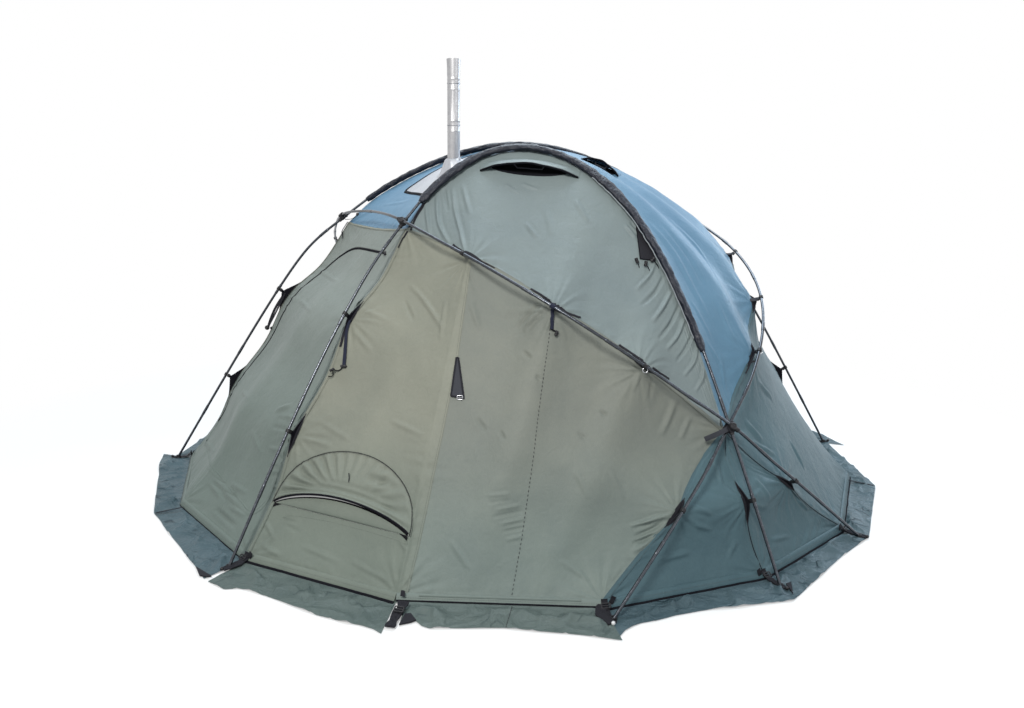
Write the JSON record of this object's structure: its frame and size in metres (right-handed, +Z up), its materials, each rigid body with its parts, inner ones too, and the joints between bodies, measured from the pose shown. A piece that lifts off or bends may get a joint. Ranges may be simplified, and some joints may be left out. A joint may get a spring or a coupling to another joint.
{
  "type": "geodesic hot tent",
  "caption": "Round geodesic shelter of coated cloth hung under outside tube poles, with zipped doors, hooded vents, ground skirts and a stove pipe through the roof.",
  "frame": {"origin": "centre of the floor circle on the ground", "axes": "+Z up, X along the centre pole, the pictured side faces -Y"},
  "size_m": [4.0444, 4.0402, 2.15],
  "materials": {
    "canvas_sage": "coated woven cloth, dull sheen",
    "skirt_green": "coated groundsheet cloth",
    "pole_black": "dark anodised tube",
    "sleeve_black": "dark woven sleeve",
    "plastic_black": "matt moulded",
    "webbing_black": "woven webbing",
    "heat_cloth_silver": "silvered heat-proof cloth",
    "pipe_steel": "thin rolled steel"
  },
  "bodies": {
    "tent": {"foot_anchor_front_left_front": "webbing_black", "foot_anchor_front_left_rear": "webbing_black", "foot_anchor_front_right_front": "webbing_black", "foot_anchor_front_right_rear": "webbing_black", "foot_anchor_left_front": "webbing_black", "foot_anchor_left_rear": "webbing_black", "foot_anchor_side_front": "webbing_black", "foot_anchor_side_front_front": "webbing_black", "foot_anchor_side_front_rear": "webbing_black", "foot_anchor_side_rear": "webbing_black", "hub_centre_left": "plastic_black", "hub_centre_right": "plastic_black", "hub_front_left": "plastic_black", "hub_rear_right": "plastic_black", "hub_side_left": "plastic_black", "hub_side_right": "plastic_black", "pole_centre": "pole_black", "pole_diagonal_left": "pole_black", "pole_diagonal_right": "pole_black", "pole_front": "pole_black", "pole_rear": "pole_black", "roof_strip_front": "canvas_sage", "roof_strip_rear": "canvas_sage", "skirt_corner_front": "skirt_green", "skirt_corner_rear": "skirt_green", "skirt_door_front": "skirt_green", "skirt_door_rear": "skirt_green", "skirt_front_front": "skirt_green", "skirt_front_rear": "skirt_green", "skirt_side_front": "skirt_green", "skirt_side_rear": "skirt_green", "skirt_vent_front": "skirt_green", "skirt_vent_rear": "skirt_green", "sleeve_centre": "sleeve_black", "sleeve_front": "sleeve_black", "sleeve_rear": "sleeve_black", "stove_jack": "heat_cloth_silver", "wall_corner_front": "canvas_sage", "wall_corner_rear": "canvas_sage", "wall_door_front": "canvas_sage", "wall_door_rear": "canvas_sage", "wall_front_front": "canvas_sage", "wall_front_rear": "canvas_sage", "wall_side_front": "canvas_sage", "wall_side_rear": "canvas_sage", "wall_upper_front": "canvas_sage", "wall_upper_rear": "canvas_sage", "wall_vent_front": "canvas_sage", "wall_vent_rear": "canvas_sage"},
    "door_front": {"door_front": "canvas_sage"},
    "low_vent_flap_front": {"low_vent_flap_front": "canvas_sage"},
    "peak_vent_hood_front": {"peak_vent_hood_front": "canvas_sage"},
    "roof_vent_hood_front": {"roof_vent_hood_front": "canvas_sage"},
    "door_rear": {"door_rear": "canvas_sage"},
    "low_vent_flap_rear": {"low_vent_flap_rear": "canvas_sage"},
    "peak_vent_hood_rear": {"peak_vent_hood_rear": "canvas_sage"},
    "roof_vent_hood_rear": {"roof_vent_hood_rear": "canvas_sage"},
    "pipe_lower": {"pipe_lower": "pipe_steel"},
    "pipe_middle": {"pipe_middle": "pipe_steel"},
    "pipe_top": {"pipe_top": "pipe_steel"}
  },
  "joints": [
    {"name": "door_front_swing", "type": "hinge", "parent": "tent", "child": "door_front", "pos_m": [-1.03235, -0.98381, 0.71641], "axis": [0.4739, 0.4174, 0.7754], "range_deg": [0, 95]},
    {"name": "low_vent_flap_front_drop", "type": "hinge", "parent": "tent", "child": "low_vent_flap_front", "pos_m": [-0.90226, -1.43331, 0.216], "axis": [0.8298, -0.5581, 0], "range_deg": [0, 120]},
    {"name": "peak_vent_hood_front_lift", "type": "hinge", "parent": "tent", "child": "peak_vent_hood_front", "pos_m": [-0.03865, -0.70843, 1.65912], "axis": [-0.9538, 0.2931, 0.0666], "range_deg": [0, 20]},
    {"name": "roof_vent_hood_front_lift", "type": "hinge", "parent": "tent", "child": "roof_vent_hood_front", "pos_m": [0.34594, -0.52186, 1.64758], "axis": [-0.8429, 0.377, 0.3839], "range_deg": [0, 20]},
    {"name": "door_rear_swing", "type": "hinge", "parent": "tent", "child": "door_rear", "pos_m": [1.03235, 0.98381, 0.71641], "axis": [-0.4739, -0.4174, 0.7754], "range_deg": [0, 95]},
    {"name": "low_vent_flap_rear_drop", "type": "hinge", "parent": "tent", "child": "low_vent_flap_rear", "pos_m": [0.90226, 1.43331, 0.216], "axis": [-0.8298, 0.5581, 0], "range_deg": [0, 120]},
    {"name": "peak_vent_hood_rear_lift", "type": "hinge", "parent": "tent", "child": "peak_vent_hood_rear", "pos_m": [0.03865, 0.70843, 1.65912], "axis": [0.9538, -0.2931, 0.0666], "range_deg": [0, 20]},
    {"name": "roof_vent_hood_rear_lift", "type": "hinge", "parent": "tent", "child": "roof_vent_hood_rear", "pos_m": [-0.34594, 0.52186, 1.64758], "axis": [0.8429, -0.377, 0.3839], "range_deg": [0, 20]},
    {"name": "pipe_lower_slide", "type": "slide", "parent": "tent", "child": "pipe_lower", "axis": [0, 0, 1], "range_m": [0, 0.25]},
    {"name": "pipe_middle_lift", "type": "slide", "parent": "pipe_lower", "child": "pipe_middle", "axis": [0, 0, 1], "range_m": [0, 0.05]},
    {"name": "pipe_top_lift", "type": "slide", "parent": "pipe_middle", "child": "pipe_top", "axis": [0, 0, 1], "range_m": [0, 0.05]}
  ]
}
